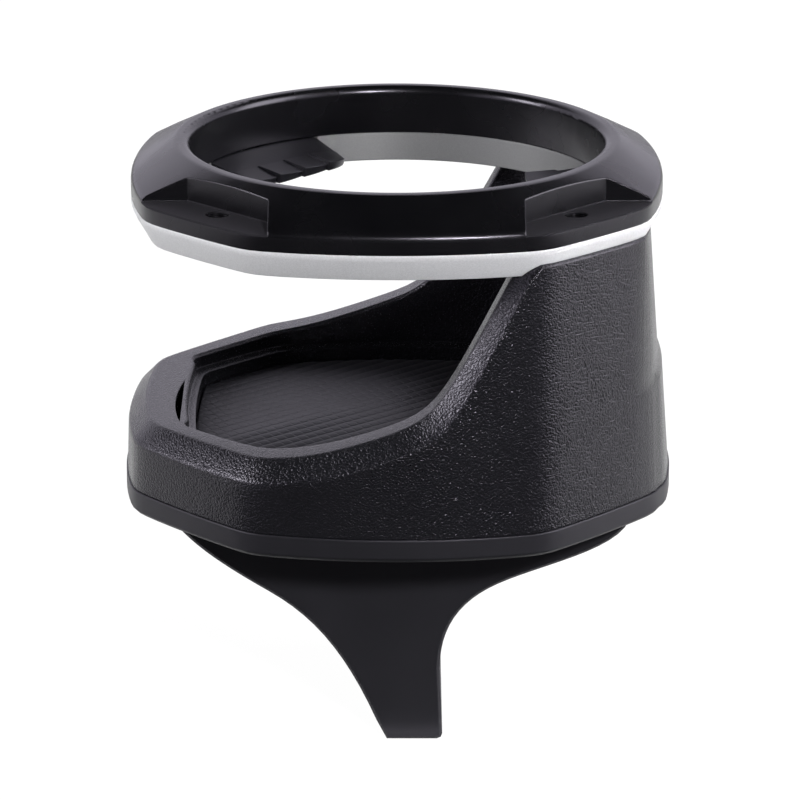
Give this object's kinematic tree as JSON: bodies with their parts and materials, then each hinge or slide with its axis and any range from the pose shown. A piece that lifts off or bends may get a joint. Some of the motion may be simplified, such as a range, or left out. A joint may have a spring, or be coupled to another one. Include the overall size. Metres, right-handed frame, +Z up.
{
  "type": "car cup holder",
  "caption": "Car cup holder: a ring with folding spring flaps on a tower over a matted tray, carried by a tapered blade that goes into the gap beside a seat.",
  "frame": {"origin": "under the cup axis, at the level of the blade's foot", "axes": "+Z up along the cup axis, +X towards the tower that carries the ring, +Y along the gap"},
  "size_m": [0.1036, 0.1032, 0.1109],
  "materials": {
    "grained_shell": "grained satin",
    "smooth_black": "smooth matte",
    "mat_rubber": "ribbed matte",
    "silver_ring": "silver satin paint",
    "black_ring": "smooth satin",
    "flap_black": "fine satin",
    "pin_steel": "drawn",
    "spring_steel": "drawn wire",
    "screw_black": "black zinc"
  },
  "bodies": {
    "holder": {"body_shell": "grained_shell", "base_plate": "smooth_black", "gap_blade": "smooth_black", "floor_mat": "mat_rubber", "lower_ring": "silver_ring", "upper_ring": "black_ring", "hinge_pin_1": "pin_steel", "hinge_pin_2": "pin_steel", "hinge_pin_3": "pin_steel", "flap_spring_1": "spring_steel", "flap_spring_2": "spring_steel", "flap_spring_3": "spring_steel", "front_ring_screws": "screw_black", "rear_ring_screws": "screw_black", "base_screws": "screw_black", "blade_screws": "screw_black"},
    "flap_1": {"flap_1": "flap_black"},
    "flap_2": {"flap_2": "flap_black"},
    "flap_3": {"flap_3": "flap_black"}
  },
  "joints": [
    {"name": "flap_1_hinge", "type": "hinge", "parent": "holder", "child": "flap_1", "pos_m": [0.0406, 0, 0.1], "axis": [0, -1, 0], "range_deg": [0, 50], "stiffness_Nm_per_rad": 0.01, "springref_deg": -34.38, "deforming": ["flap_spring_1"]},
    {"name": "flap_2_hinge", "type": "hinge", "parent": "holder", "child": "flap_2", "pos_m": [-0.02871, 0.02871, 0.1], "axis": [0.7071, 0.7071, 0], "range_deg": [0, 50], "stiffness_Nm_per_rad": 0.01, "springref_deg": -34.38, "deforming": ["flap_spring_2"]},
    {"name": "flap_3_hinge", "type": "hinge", "parent": "holder", "child": "flap_3", "pos_m": [-0.02871, -0.02871, 0.1], "axis": [-0.7071, 0.7071, 0], "range_deg": [0, 50], "stiffness_Nm_per_rad": 0.01, "springref_deg": -34.38, "deforming": ["flap_spring_3"]}
  ]
}
